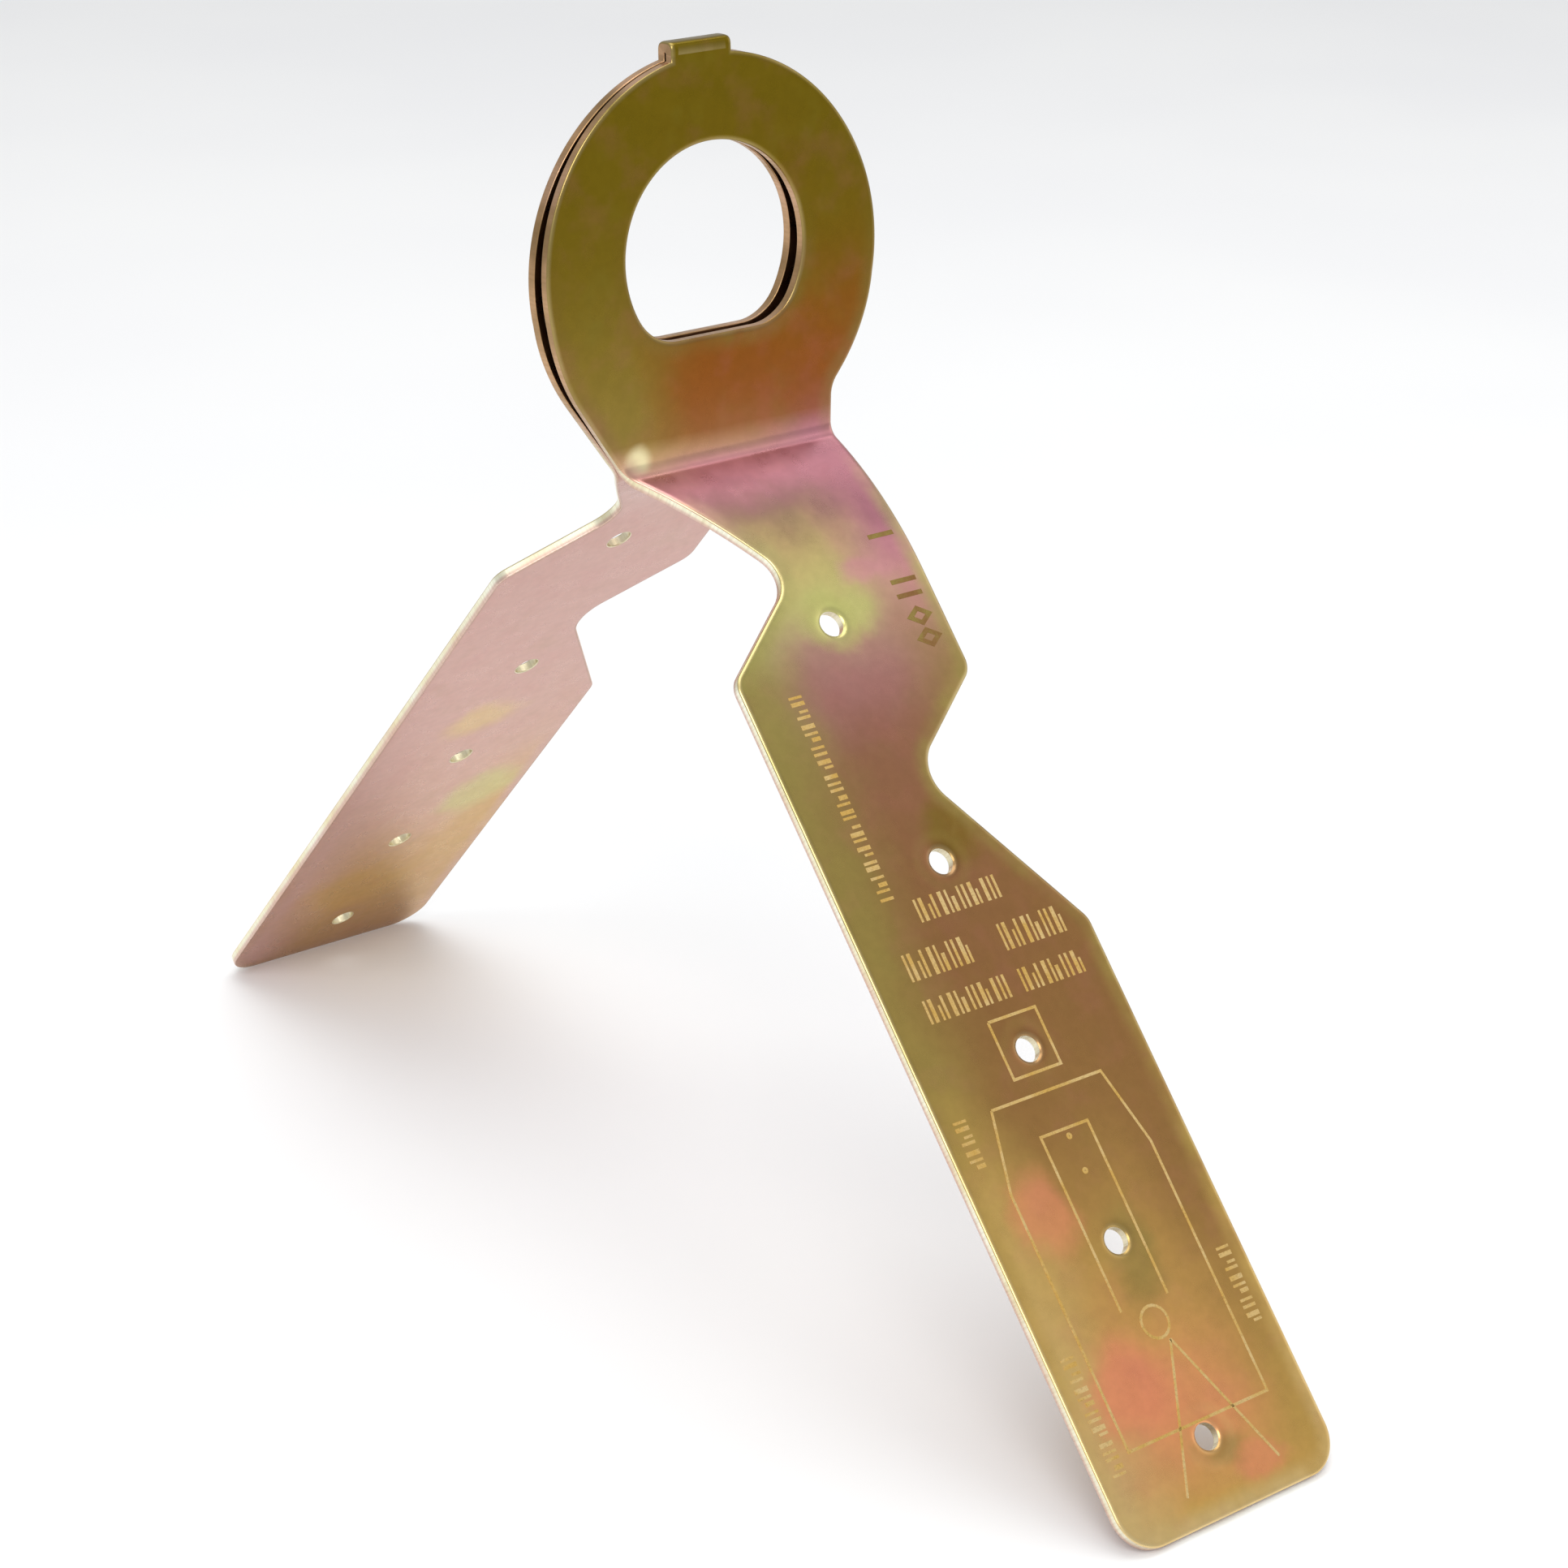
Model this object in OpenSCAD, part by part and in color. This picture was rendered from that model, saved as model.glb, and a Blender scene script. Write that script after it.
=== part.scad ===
// Nail-on ridge roof anchor.
// One sheet steel blank is folded double at a narrow tab, so that two ring plates lie
// back to back around the eye. Each half then bends outwards at the waist and runs down
// a roof slope as a long leg with a row of nail holes.
// The nodes are the blank's forming zones, split where the sheet is bent.
// X runs along the bend lines, Y from the front leg to the rear leg, Z up.
// The origin is on the ground, midway between the feet.

/* [Sheet] */
// Thickness of the steel sheet
sheet_t = 2.7; // [2:0.1:3.5]

/* [Ring] */
// Outer radius of the ring
ring_r = 50.5; // [50:0.5:51]
// Height of the ring's centre above the waist corner
ring_rise = 49.5; // [49:0.5:50]
// Outer radius of the ring's fuller lower part
lobe_r = 50; // [49.5:0.5:50]
// Height of the lower part's centre above the waist corner
lobe_rise = 46.5; // [46.5:0.5:47]
// Radius of the eye
eye_r = 27.2; // [24:0.1:30]
// Height of the eye's centre above the waist corner
eye_rise = 51.5; // [48:0.5:56]
// Distance from the eye's centre down to its flat
eye_flat = 20.2; // [16:0.1:22]
// Corner radius at the ends of the flat
eye_corner_r = 13.5; // [8:0.5:14]
// Widest gap between the two ring plates
bow_gap = 3.2; // [1:0.1:5]
// Height of the widest gap above the waist corner
bow_rise = 38; // [30:1:50]

/* [Tab fold] */
// Width of the tab that joins the two halves
tab_w = 18; // [12:0.5:24]
// Distance from the ring's centre line to the tab's middle, towards the left
tab_left = 2; // [0:0.5:4]
// Inside radius of the closed fold
fold_r = 0.3; // [0.2:0.1:1]
// Outside corner radius of the fold, which is pressed almost square
fold_corner_r = 1.7; // [1:0.1:2.5]
// Height of the fold's axis above the waist corner
fold_rise = 100.4; // [100.2:0.1:101.5]

/* [Waist] */
// Distance from the centre line to the waist's left end
waist_left = 30.5; // [26:0.5:34]
// Distance from the centre line to the waist's right end
waist_right = 36.5; // [36.5:0.5:40]
// Height of the right-hand notch above the waist corner
waist_notch = 12; // [8:0.5:12]
// Radius inside the right-hand notch
waist_notch_r = 8; // [4:0.5:10]
// Height at which the ring plates end and the bends begin
bend_rise = 2.5; // [2:0.1:4]
// Inside radius of the waist bends
bend_r = 4; // [3:0.5:6]
// Gap between the two halves where the bends begin
waist_gap = 0.3; // [0.1:0.1:1]

/* [Necks] */
// Radius of the soft curve below each waist, at the sheet's middle
neck_r = 105; // [95:1:110]
// Angle of the soft curve
neck_turn = 23.5; // [18:0.5:24]

/* [Legs] */
// Slope of the front leg, measured from a plane square to the ring
front_slope = 51; // [40:0.5:60]
// Slope of the rear leg, measured from a plane square to the ring
rear_slope = 45.5; // [40:0.5:60]
// Width of the leg
leg_w = 68.5; // [64:0.5:76]
// Distance of the leg's centre line from the ring's centre, towards the right
leg_offset = 3; // [0:0.5:4]
// Length of the leg from the waist corner to the foot
leg_l = 287.5; // [280:0.5:320]
// Radius of the foot's two corners
foot_r = 10; // [4:0.5:16]
// Distance from the waist corner to the bottom of the left notch
left_notch = 40; // [38:0.5:44]
// Distance from the centre line to the left notch, towards the left
left_notch_x = 2.5; // [0:0.5:6]
// Radius inside the left notch
left_notch_r = 9; // [8:0.5:12]
// Distance from the waist corner to the left shoulder
left_shoulder = 62.5; // [58:0.5:70]
// Distance from the waist corner to the right hip
right_hip = 74.5; // [72:0.5:78]
// Distance from the waist corner to the bottom of the right notch
right_notch = 96; // [90:0.5:100]
// Distance from the centre line to the right notch, towards the right
right_notch_x = 8; // [4:0.5:10]
// Radius inside the right notch
right_notch_r = 10; // [6:0.5:12]
// Distance from the waist corner to the right shoulder
right_shoulder = 143.5; // [140:0.5:150]
// Radius of the rounded shoulders
shoulder_r = 6; // [2:0.5:8]

/* [Nail holes] */
// Diameter of the nail holes
nail_d = 6.7; // [5:0.1:8]
// Distance from the waist corner to the first nail hole
first_nail = 54.2; // [54:0.1:58]
// Distance from the waist corner to the second nail hole
second_nail = 119; // [115:0.5:125]
// Spacing of the nail holes from the second one on
nail_pitch = 50; // [45:0.5:54]

/* [Hidden] */
$fn = 96;
eps = 0.01;
// Nail holes in the straight row, and reach of the tools that cut through a plate
nail_row = 4;
nail_stations = concat([first_nail], [for (i = [0 : nail_row - 1]) second_nail + i * nail_pitch]);
reach = 40;
// The left edge's slant, carried past both ends of a waist bend
overrun = 3;
// Overlap that lets an arc cross its neighbours cleanly instead of only touching them
blend = 0.02;
leg_left = leg_w / 2 - leg_offset;
leg_right = leg_w / 2 + leg_offset;
// The leg tapers in by this much from its right side to the hip
hip_inset = 0.5;
// The sheet's zones along the leg: the bend, the neck, then the flat plate
neck_in_r = neck_r - sheet_t / 2;
bend_mid_r = bend_r + sheet_t / 2;
neck_l = neck_r * neck_turn * PI / 180;
bend_lean = atan((bow_gap - waist_gap) / 2 / (bow_rise - bend_rise));
// Direction of the outer face's normal at a given slope, as [y, z]
function face_normal(slope) = [sin(slope), cos(slope)];
// Direction down the sheet at a given slope, as [y, z]
function down_sheet(slope) = [cos(slope), -sin(slope)];
// Centre of the waist bend in a half, as [y, z]
bend_c = [waist_gap / 2, bend_rise] + [cos(bend_lean), -sin(bend_lean)] * (sheet_t + bend_r);
// Angle through which the waist bend turns for a leg of a given slope
function bend_turn(slope) = 90 + bend_lean - (slope - neck_turn);
// Centre of the neck's curve
function neck_c(slope) =
    bend_c - face_normal(slope - neck_turn) * (bend_r + sheet_t + neck_in_r);
// Start of the flat plate's underside
function plate_start(slope) = neck_c(slope) + face_normal(slope) * neck_in_r;
// Distance along the sheet from the waist corner to the end of the bend and of the neck
bend_end = bend_mid_r * tan((90 + bend_lean - front_slope + neck_turn) / 2);
neck_end = bend_end + neck_l;
function bend_l(slope) = bend_mid_r * bend_turn(slope) * PI / 180;
// The left edge runs straight from the ring's corner to the left notch, x per distance down
function bend_slant(slope) = (waist_left - left_notch_x) / (left_notch - bend_end + bend_l(slope));
// Lowest and outermost corners of a foot
function foot_low(slope) =
    plate_start(slope) + down_sheet(slope) * (leg_l - neck_end);
function foot_out(slope) = foot_low(slope) + face_normal(slope) * sheet_t;
// The front half points to -Y and the rear half to +Y; the lean brings both feet level
front_low = [-foot_low(front_slope)[0], foot_low(front_slope)[1]];
rear_low = foot_low(rear_slope);
lean = -atan((rear_low[1] - front_low[1]) / (rear_low[0] - front_low[0]));
function leaned(p) = [p[0] * cos(lean) - p[1] * sin(lean), p[0] * sin(lean) + p[1] * cos(lean)];
front_out = leaned([-foot_out(front_slope)[0], foot_out(front_slope)[1]]);
rear_out = leaned(foot_out(rear_slope));
stand_y = -(front_out[0] + rear_out[0]) / 2;
stand_z = -leaned(rear_low)[1];

// ---- Plane outlines: x across, y up the ring or down the leg ----

function unit(v) = v / norm(v);
// Distance from a corner b to where a fillet of radius r leaves its sides
function trim_len(a, b, c, r) =
    let (u = unit(a - b), w = unit(c - b))
    r / tan(acos(u * w) / 2);
function fillet_centre(a, b, c, r) =
    let (u = unit(a - b), w = unit(c - b))
    b + unit(u + w) * (r / sin(acos(u * w) / 2));
function is_left_turn(a, b, c) =
    (b[0] - a[0]) * (c[1] - b[1]) - (b[1] - a[1]) * (c[0] - b[0]) > 0;

// A counter-clockwise outline with a radius at every corner, where 0 leaves it sharp
module rounded_outline(pts, radii) {
    n = len(pts);
    function before(i) = pts[(i + n - 1) % n];
    function after(i) = pts[(i + 1) % n];
    difference() {
        union() {
            polygon([for (i = [0 : n - 1])
                let (
                    b = pts[i],
                    k = radii[i] > 0 ? trim_len(before(i), b, after(i), radii[i]) : 0
                )
                for (p = radii[i] > 0
                    ? [b + unit(before(i) - b) * k, b + unit(after(i) - b) * k]
                    : [b]) p]);
            for (i = [0 : n - 1])
                if (radii[i] > 0 && is_left_turn(before(i), pts[i], after(i)))
                    translate(fillet_centre(before(i), pts[i], after(i), radii[i]))
                        circle(r = radii[i] + blend);
        }
        for (i = [0 : n - 1])
            if (radii[i] > 0 && !is_left_turn(before(i), pts[i], after(i)))
                translate(fillet_centre(before(i), pts[i], after(i), radii[i]))
                    circle(r = radii[i] + blend);
    }
}

// Point where a line from p touches a circle, on the side given by +1 or -1
function touch_point(p, c, r, side) =
    let (
        d = c - p,
        run = sqrt(d * d - r * r),
        a = atan2(d[1], d[0]) + side * asin(r / norm(d))
    )
    p + run * [cos(a), sin(a)];

module eye_outline() {
    corner_y = -(eye_flat - eye_corner_r);
    corner_x = sqrt(pow(eye_r - eye_corner_r, 2) - pow(corner_y, 2));
    touch = [corner_x, corner_y] * eye_r / (eye_r - eye_corner_r);
    translate([0, eye_rise]) {
        intersection() {
            circle(r = eye_r);
            translate([-eye_r, touch[1]])
                square([2 * eye_r, 2 * eye_r]);
        }
        polygon([[-corner_x, -eye_flat], [corner_x, -eye_flat], touch, [-touch[0], touch[1]]]);
        for (side = [-1, 1])
            translate([side * corner_x, corner_y])
                circle(r = eye_corner_r + blend);
    }
}

module ring_outline() {
    lobe = [0, lobe_rise];
    low_left = [-waist_left, bend_rise];
    notch = [waist_right, waist_notch];
    left_touch = touch_point(low_left, lobe, lobe_r - blend, 1);
    right_touch = touch_point(notch, lobe, lobe_r - blend, -1);
    difference() {
        union() {
            translate([0, ring_rise])
                circle(r = ring_r);
            translate(lobe)
                circle(r = lobe_r);
            rounded_outline([low_left, [-waist_left, 0], [waist_right, 0], notch, right_touch,
                             left_touch],
                            [0, 0, 0, waist_notch_r, 0, 0]);
            translate([-tab_left - tab_w / 2, ring_rise])
                square([tab_w, fold_rise - ring_rise]);
        }
        eye_outline();
    }
}

// The whole leg, with y as the distance down the sheet from the waist corner
module leg_outline(slope) {
    start = bend_end - bend_l(slope);
    rounded_outline(
        [[-waist_left, start], [waist_right, start], [waist_right, 0],
         [leg_right - hip_inset, right_hip], [right_notch_x, right_notch],
         [leg_right, right_shoulder], [leg_right, leg_l],
         [-leg_left, leg_l], [-leg_left, left_shoulder], [-left_notch_x, left_notch]],
        [0, 0, 0, shoulder_r, right_notch_r, shoulder_r, foot_r,
         foot_r, shoulder_r, left_notch_r]);
}

// ---- Sheet profiles and zones of one half, which points to +Y ----

// Turns a flat shape so that its x runs along Y and its y along Z, and extrudes it along X
module along_x(width) {
    rotate([90, 0, 90])
        translate([0, 0, -width / 2])
            linear_extrude(height = width)
                children();
}

// Sheet bent about an axis along X, from angle a round through turn degrees
module bent_sheet(inside_r, a, turn, x_low, x_high) {
    rotate([90, 0, 90])
        rotate([0, 0, a])
            rotate_extrude(angle = turn)
                translate([inside_r, x_low])
                    square([sheet_t, x_high - x_low]);
}

module ring_zone() {
    low = waist_gap / 2;
    mid = bow_gap / 2;
    square_cut = sheet_t * [cos(bend_lean), -sin(bend_lean)];
    intersection() {
        along_x(2 * ring_r + 2)
            polygon([[low, bend_rise], [low, bend_rise] + square_cut, [mid + sheet_t, bow_rise],
                     [fold_r + sheet_t, fold_rise], [fold_r, fold_rise], [mid, bow_rise]]);
        translate([0, reach, 0])
            rotate([90, 0, 0])
                linear_extrude(height = 2 * reach)
                    ring_outline();
    }
}

module bend_zone(slope) {
    turn = bend_turn(slope);
    mid_slope = slope - neck_turn + turn / 2;
    mid = bend_c - face_normal(mid_slope) * bend_mid_r;
    chord = 2 * bend_mid_r * sin(turn / 2);
    slant = bend_slant(slope) * bend_l(slope) / chord;
    low = -chord / 2 - overrun;
    high = chord / 2 + overrun;
    intersection() {
        translate([0, bend_c[0], bend_c[1]])
            bent_sheet(bend_r, 180 - bend_lean, turn, -waist_left - overrun, waist_right);
        translate([0, mid[0], mid[1]])
            rotate([-mid_slope, 0, 0])
                translate([0, 0, -reach / 2])
                    linear_extrude(height = reach)
                        polygon([[-waist_left - slant * overrun, low], [leg_w, low], [leg_w, high],
                                 [-waist_left + slant * (chord + overrun), high]]);
    }
}

module neck_zone(slope) {
    mid_slope = slope - neck_turn / 2;
    centre = neck_c(slope);
    crest = centre + face_normal(mid_slope) * neck_r;
    intersection() {
        translate([0, centre[0], centre[1]])
            bent_sheet(neck_in_r, 90 - slope, neck_turn, -leg_w, leg_w);
        translate([0, crest[0], crest[1]])
            rotate([-mid_slope, 0, 0])
                translate([0, -(bend_end + neck_end) / 2, -reach / 2])
                    linear_extrude(height = reach)
                        leg_outline(slope);
    }
}

module plate_zone(slope) {
    start = plate_start(slope);
    translate([0, start[0], start[1]])
        rotate([-slope, 0, 0])
            translate([0, -neck_end, 0])
                difference() {
                    linear_extrude(height = sheet_t)
                        intersection() {
                            leg_outline(slope);
                            translate([-leg_w, neck_end])
                                square([2 * leg_w, leg_l]);
                        }
                    for (y = nail_stations)
                        translate([leg_offset, y, -eps])
                            cylinder(d = nail_d, h = sheet_t + 2 * eps);
                }
}

// ---- Placing ----

module stand() {
    translate([0, stand_y, stand_z])
        rotate([lean, 0, 0])
            children();
}

module front_side() {
    stand()
        mirror([0, 1, 0])
            children();
}

module front_ring_plate() {
    color("darkgoldenrod")
        front_side()
            ring_zone();
}

module front_waist_bend() {
    color("plum")
        front_side()
            bend_zone(front_slope);
}

module front_neck() {
    color("thistle")
        front_side()
            neck_zone(front_slope);
}

module front_leg_plate() {
    color("rosybrown")
        front_side()
            plate_zone(front_slope);
}

module tab_fold() {
    half_t = fold_r + sheet_t;
    inset = half_t - fold_corner_r;
    color("goldenrod")
        stand()
            translate([-tab_left, 0, fold_rise])
                along_x(tab_w)
                    difference() {
                        union() {
                            translate([-half_t, 0])
                                square([2 * half_t, inset]);
                            translate([-inset, 0])
                                square([2 * inset, half_t]);
                            for (side = [-1, 1])
                                translate([side * inset, inset])
                                    circle(r = fold_corner_r + blend);
                        }
                        circle(r = fold_r);
                        translate([-reach / 2, -reach])
                            square(reach);
                    }
}

module rear_ring_plate() {
    color("olive")
        stand()
            ring_zone();
}

module rear_waist_bend() {
    color("orchid")
        stand()
            bend_zone(rear_slope);
}

module rear_neck() {
    color("pink")
        stand()
            neck_zone(rear_slope);
}

module rear_leg_plate() {
    color("lightpink")
        stand()
            plate_zone(rear_slope);
}

front_ring_plate();
front_waist_bend();
front_neck();
front_leg_plate();
tab_fold();
rear_ring_plate();
rear_waist_bend();
rear_neck();
rear_leg_plate();
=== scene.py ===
"""Looks of a nail-on ridge roof anchor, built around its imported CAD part.

Each half of the folded blank is one formed sheet with rounded cut edges. Lengths are in
metres, in the part's own frame: X along the bend lines, Y from front to rear, Z up.
A place on the flat sheet is (x, s): x across and s down the sheet from the start of the
waist bend, so s is negative on the ring. h is the height off the sheet's middle.
"""

import math

import bmesh
import bpy
import numpy as np
from mathutils import Matrix, Vector
from mathutils.geometry import delaunay_2d_cdt


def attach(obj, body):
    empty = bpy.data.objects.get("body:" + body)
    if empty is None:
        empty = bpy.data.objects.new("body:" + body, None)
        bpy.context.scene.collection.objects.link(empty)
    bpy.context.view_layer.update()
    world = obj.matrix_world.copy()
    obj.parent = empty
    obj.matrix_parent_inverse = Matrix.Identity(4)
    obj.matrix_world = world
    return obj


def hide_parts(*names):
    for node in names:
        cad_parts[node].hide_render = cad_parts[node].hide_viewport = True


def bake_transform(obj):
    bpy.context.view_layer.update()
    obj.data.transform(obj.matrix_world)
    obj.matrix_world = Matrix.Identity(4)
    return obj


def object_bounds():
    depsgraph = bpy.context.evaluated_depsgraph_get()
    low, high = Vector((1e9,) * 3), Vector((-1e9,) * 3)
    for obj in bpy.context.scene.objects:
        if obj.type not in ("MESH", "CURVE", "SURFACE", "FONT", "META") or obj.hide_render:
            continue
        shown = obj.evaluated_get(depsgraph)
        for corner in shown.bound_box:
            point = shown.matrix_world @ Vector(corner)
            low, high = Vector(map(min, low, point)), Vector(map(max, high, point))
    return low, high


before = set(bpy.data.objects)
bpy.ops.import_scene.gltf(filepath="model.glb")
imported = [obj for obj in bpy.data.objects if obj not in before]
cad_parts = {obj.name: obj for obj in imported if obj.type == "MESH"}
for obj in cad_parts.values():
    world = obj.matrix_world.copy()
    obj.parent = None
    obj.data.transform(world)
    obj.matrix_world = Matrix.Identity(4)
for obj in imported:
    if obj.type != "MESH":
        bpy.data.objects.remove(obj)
cad_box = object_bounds()

# ---- Sizes, repeated from the CAD part ----

MM = 0.001
SHEET_T = 2.7 * MM
RING_R = 50.5 * MM
RING_RISE = 49.5 * MM
LOBE_R = 50 * MM
LOBE_RISE = 46.5 * MM
EYE_R = 27.2 * MM
EYE_RISE = 51.5 * MM
EYE_FLAT = 20.2 * MM
EYE_CORNER_R = 13.5 * MM
BOW_GAP = 3.2 * MM
BOW_RISE = 38 * MM
TAB_W = 18 * MM
TAB_LEFT = 2 * MM
FOLD_R = 0.3 * MM
FOLD_RISE = 100.4 * MM
WAIST_LEFT = 30.5 * MM
WAIST_RIGHT = 36.5 * MM
WAIST_NOTCH = 12 * MM
WAIST_NOTCH_R = 8 * MM
BEND_RISE = 2.5 * MM
BEND_R = 4 * MM
WAIST_GAP = 0.3 * MM
NECK_R = 105 * MM
NECK_TURN = math.radians(23.5)
LEG_W = 68.5 * MM
LEG_OFFSET = 3 * MM
LEG_L = 287.5 * MM
FOOT_R = 10 * MM
LEFT_NOTCH = 40 * MM
LEFT_NOTCH_X = 2.5 * MM
LEFT_NOTCH_R = 9 * MM
LEFT_SHOULDER = 62.5 * MM
RIGHT_HIP = 74.5 * MM
RIGHT_NOTCH = 96 * MM
RIGHT_NOTCH_X = 8 * MM
RIGHT_NOTCH_R = 10 * MM
RIGHT_SHOULDER = 143.5 * MM
SHOULDER_R = 6 * MM
HIP_INSET = 0.5 * MM
NAIL_R = 3.35 * MM
NAILS = [54.2 * MM, 119 * MM, 169 * MM, 219 * MM, 269 * MM]
FRONT_SLOPE = math.radians(51)
REAR_SLOPE = math.radians(45.5)

# ---- How the meshes are made ----

# The punch rolls the outer face over at a cut edge and leaves the inner one sharper
ROLL_W, ROLL_H = 1.2 * MM, 0.5 * MM
BURR_W, BURR_H = 0.3 * MM, 0.3 * MM
EDGE_STEPS = 6
SUPPORT = 0.45 * MM
TAB_LAP = 0.1 * MM
# Points nearer than this are one point
SAME_PLACE = 1e-7
# Longest steps along the ring, along straight edges, round a nail hole and round the eye
ARC_STEP, EDGE_STEP, NAIL_STEP, EYE_STEP = 1.1 * MM, 2.5 * MM, 0.45 * MM, 1 * MM
# Longest steps along a rounded corner, and along the rings of points round a nail hole
FILLET_STEP, HALO_STEP = 0.6 * MM, 0.6 * MM
# A cut edge's upright wall has rows of points this far from its rounded parts
WALL_SUPPORT = 0.12 * MM
# Grid points nearer to the outline than this share of their spacing are left out
CROWDED = 0.35
# Nearer to a nail hole's rounded edge than this, only the rings of points are used
HALO_W = 2.8 * MM
# How far the punch's mark reaches round a nail hole, and its depth on each face
DRAW_REACH, DRAW_OUTER, DRAW_INNER = 1.1 * MM, 0.13 * MM, 0.06 * MM
# Points farther than this from the sheet's middle belong to one of its faces
FACE_H = 0.9 * MM
# Kinds of face on a sheet. An end cap has the cut edge's material
OUTER, INNER, CUT, CAP = range(4)
# Power of the curve that rounds the fold, which is pressed almost square
FOLD_POWER = 3.6


def normal_at(slope):
    """Outward normal of a sheet at that slope, as (y, z)."""
    return np.array([math.sin(slope), math.cos(slope)])


def down_at(slope):
    """Direction down a sheet at that slope, as (y, z)."""
    return np.array([math.cos(slope), -math.sin(slope)])


BEND_MID_R = BEND_R + SHEET_T / 2
NECK_IN_R = NECK_R - SHEET_T / 2
BEND_LEAN = math.atan((BOW_GAP - WAIST_GAP) / 2 / (BOW_RISE - BEND_RISE))
BEND_C = np.array([WAIST_GAP / 2, BEND_RISE]) + np.array(
    [math.cos(BEND_LEAN), -math.sin(BEND_LEAN)]
) * (SHEET_T + BEND_R)
BEND_END = BEND_MID_R * math.tan((math.pi / 2 + BEND_LEAN - FRONT_SLOPE + NECK_TURN) / 2)
NECK_L = NECK_R * NECK_TURN


class Half:
    """One half of the folded blank: where a place on the flat sheet lies once it is formed."""

    def __init__(self, name, y_sign, slope):
        self.name, self.y_sign, self.slope = name, y_sign, slope
        self.first_slope = slope - NECK_TURN
        self.bend_l = BEND_MID_R * (math.pi / 2 + BEND_LEAN - self.first_slope)
        self.neck_c = BEND_C - normal_at(self.first_slope) * (BEND_R + SHEET_T + NECK_IN_R)
        self.plate_start = self.neck_c + normal_at(slope) * NECK_IN_R
        self.plate_s = self.bend_l + NECK_L

    def station(self, v):
        """s of a distance v down the leg from the waist corner."""
        return self.bend_l + v - BEND_END

    def foot(self, height):
        """A point of the foot's end, at a height above the underside, as (y, z)."""
        run = LEG_L - BEND_END - NECK_L
        return self.plate_start + down_at(self.slope) * run + normal_at(self.slope) * height

    def profile(self, s):
        """Middle of the sheet and its outward normal at each s, as (y, z) rows."""
        s = np.asarray(s, float)
        # the ring plate bows away from its twin and comes back to it at the tab
        rise = BEND_RISE - np.minimum(s, 0)
        low, high = rise < BOW_RISE, rise >= BOW_RISE
        inner, lean = np.zeros_like(s), np.zeros_like(s)
        for here, (z0, z1), (y0, y1), m0 in (
            (low, (BEND_RISE, BOW_RISE), (WAIST_GAP / 2, BOW_GAP / 2), math.tan(BEND_LEAN)),
            (high, (BOW_RISE, FOLD_RISE), (BOW_GAP / 2, FOLD_R), 0.0),
        ):
            span = z1 - z0
            t = (rise[here] - z0) / span
            inner[here] = (
                y0 * (2 * t**3 - 3 * t**2 + 1)
                + m0 * span * (t**3 - 2 * t**2 + t)
                + y1 * (3 * t**2 - 2 * t**3)
            )
            lean[here] = (
                (y1 - y0) * (6 * t - 6 * t**2) / span + m0 * (3 * t**2 - 4 * t + 1)
            )
        ring_n = np.stack([np.ones_like(s), -lean], 1) / np.sqrt(1 + lean**2)[:, None]
        ring_p = np.stack([inner, rise], 1) + ring_n * SHEET_T / 2
        a = math.pi - BEND_LEAN + np.clip(s, 0, self.bend_l) / BEND_MID_R
        round_bend = np.stack([np.cos(a), np.sin(a)], 1)
        a = self.first_slope + np.clip(s - self.bend_l, 0, NECK_L) / NECK_R
        round_neck = np.stack([np.sin(a), np.cos(a)], 1)
        plate_n = normal_at(self.slope)
        run = np.maximum(s - self.plate_s, 0)[:, None]
        plate_p = self.plate_start + plate_n * SHEET_T / 2 + down_at(self.slope) * run
        zones = [(s < 0)[:, None], (s < self.bend_l)[:, None], (s < self.plate_s)[:, None]]
        flat = np.broadcast_to(plate_n, plate_p.shape)
        middle = np.select(
            zones,
            [ring_p, BEND_C + round_bend * BEND_MID_R, self.neck_c + round_neck * NECK_R],
            plate_p,
        )
        return middle, np.select(zones, [ring_n, -round_bend, round_neck], flat)

    def place(self, x, s, h):
        """Points of the part's own frame at each (x, s, h)."""
        middle, normal = self.profile(s)
        yz = middle + normal * np.asarray(h, float)[:, None]
        return stand(x, yz[:, 0] * self.y_sign, yz[:, 1])


class Fold:
    """The tab's closed fold, from the front ring plate's top over to the rear one's."""

    mid_r = FOLD_R + SHEET_T / 2
    length = math.pi * mid_r + 2 * TAB_LAP

    def place(self, x, s, h):
        s = np.asarray(s, float)
        a = math.pi - np.clip((s - TAB_LAP) / self.mid_r, 0, math.pi)
        share = np.asarray(h, float) / SHEET_T + 0.5
        squared = (np.abs(np.cos(a)) ** FOLD_POWER + np.abs(np.sin(a)) ** FOLD_POWER) ** (
            1 / FOLD_POWER
        )
        r = FOLD_R + ((FOLD_R + SHEET_T) / squared - FOLD_R) * share
        lap = np.maximum(TAB_LAP - s, 0) + np.maximum(s - (self.length - TAB_LAP), 0)
        return stand(x, r * np.cos(a), FOLD_RISE + r * np.sin(a) - lap)


FRONT = Half("front", -1, FRONT_SLOPE)
REAR = Half("rear", 1, REAR_SLOPE)

# The whole part leans so that both feet are level, and stands midway between them
front_low, rear_low = FRONT.foot(0) * [-1, 1], REAR.foot(0)
LEAN = -math.atan2(rear_low[1] - front_low[1], rear_low[0] - front_low[0])


def leaned(yz):
    c, s = math.cos(LEAN), math.sin(LEAN)
    return np.array([yz[0] * c - yz[1] * s, yz[0] * s + yz[1] * c])


STAND_Y = -(leaned(FRONT.foot(SHEET_T) * [-1, 1])[0] + leaned(REAR.foot(SHEET_T))[0]) / 2
STAND_Z = -leaned(rear_low)[1]


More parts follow.
